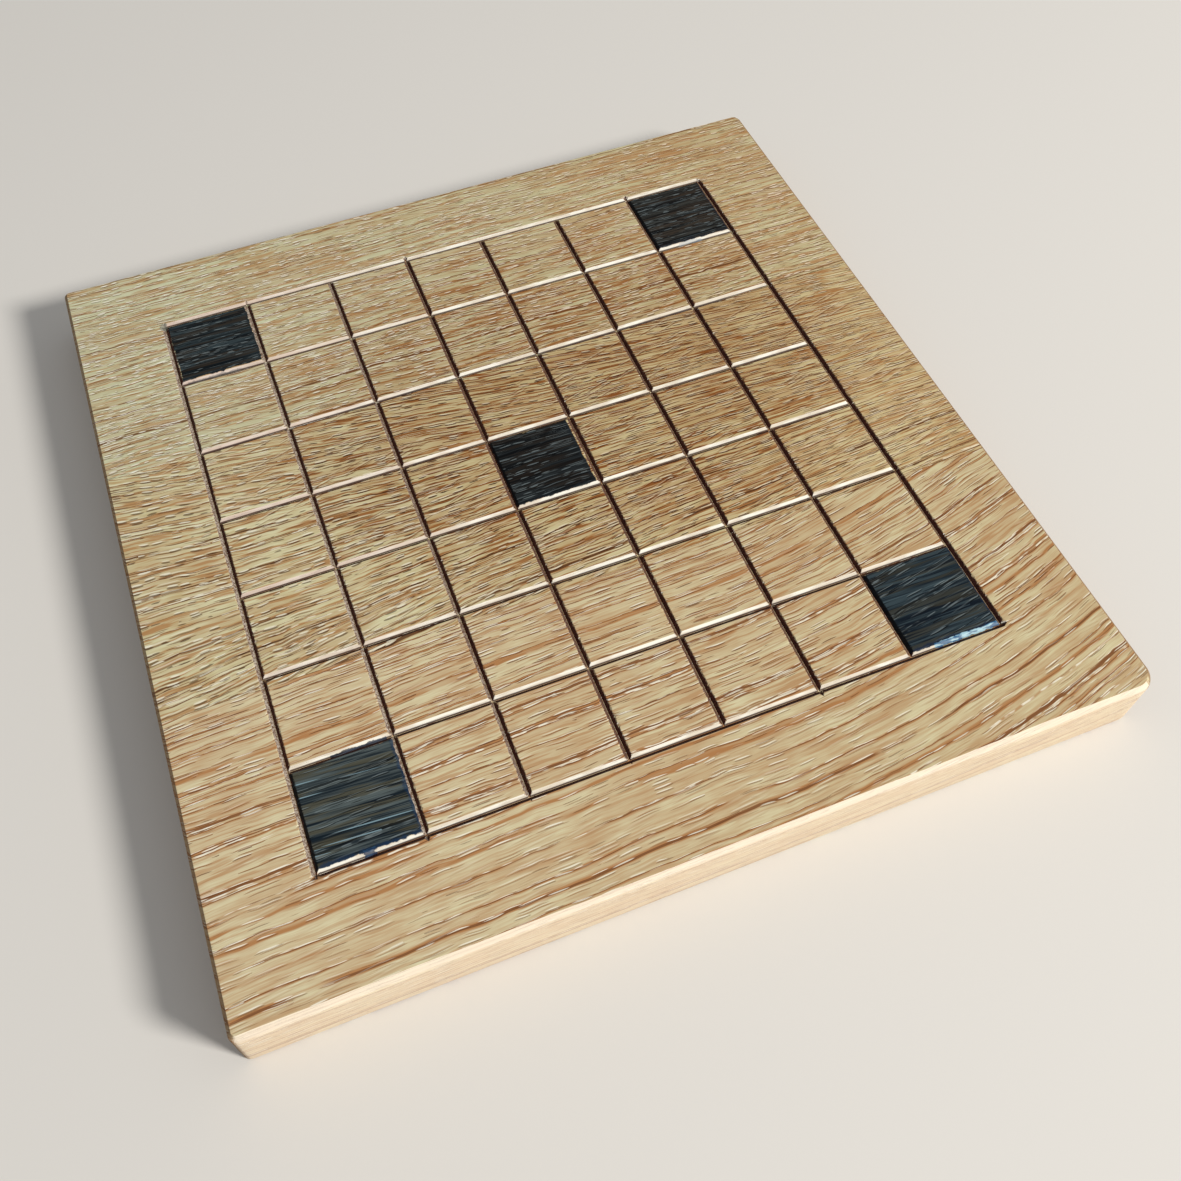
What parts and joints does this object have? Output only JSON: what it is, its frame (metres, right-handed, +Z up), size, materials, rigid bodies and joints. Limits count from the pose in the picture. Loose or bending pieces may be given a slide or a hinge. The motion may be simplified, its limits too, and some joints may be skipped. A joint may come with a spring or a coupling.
{
  "type": "tafl board",
  "caption": "Square oak board for a tafl game, edge-glued from planed staves, with a V-grooved grid and dark-stained corner and centre squares.",
  "frame": {"origin": "centre of the flat underside", "axes": "+Z up out of the playing face, +X along the grain, +Y across the grain from the near stave to the far stave"},
  "size_m": [0.273, 0.2732, 0.021],
  "materials": {
    "oak": "planed, lightly oiled oak, with corner and centre squares stained blue-black",
    "glue": "dried wood glue, planed flush"
  },
  "bodies": {
    "root": {"near_stave": "oak", "middle_stave": "oak", "far_stave": "oak", "near_glue_line": "glue", "far_glue_line": "glue"}
  },
  "joints": []
}
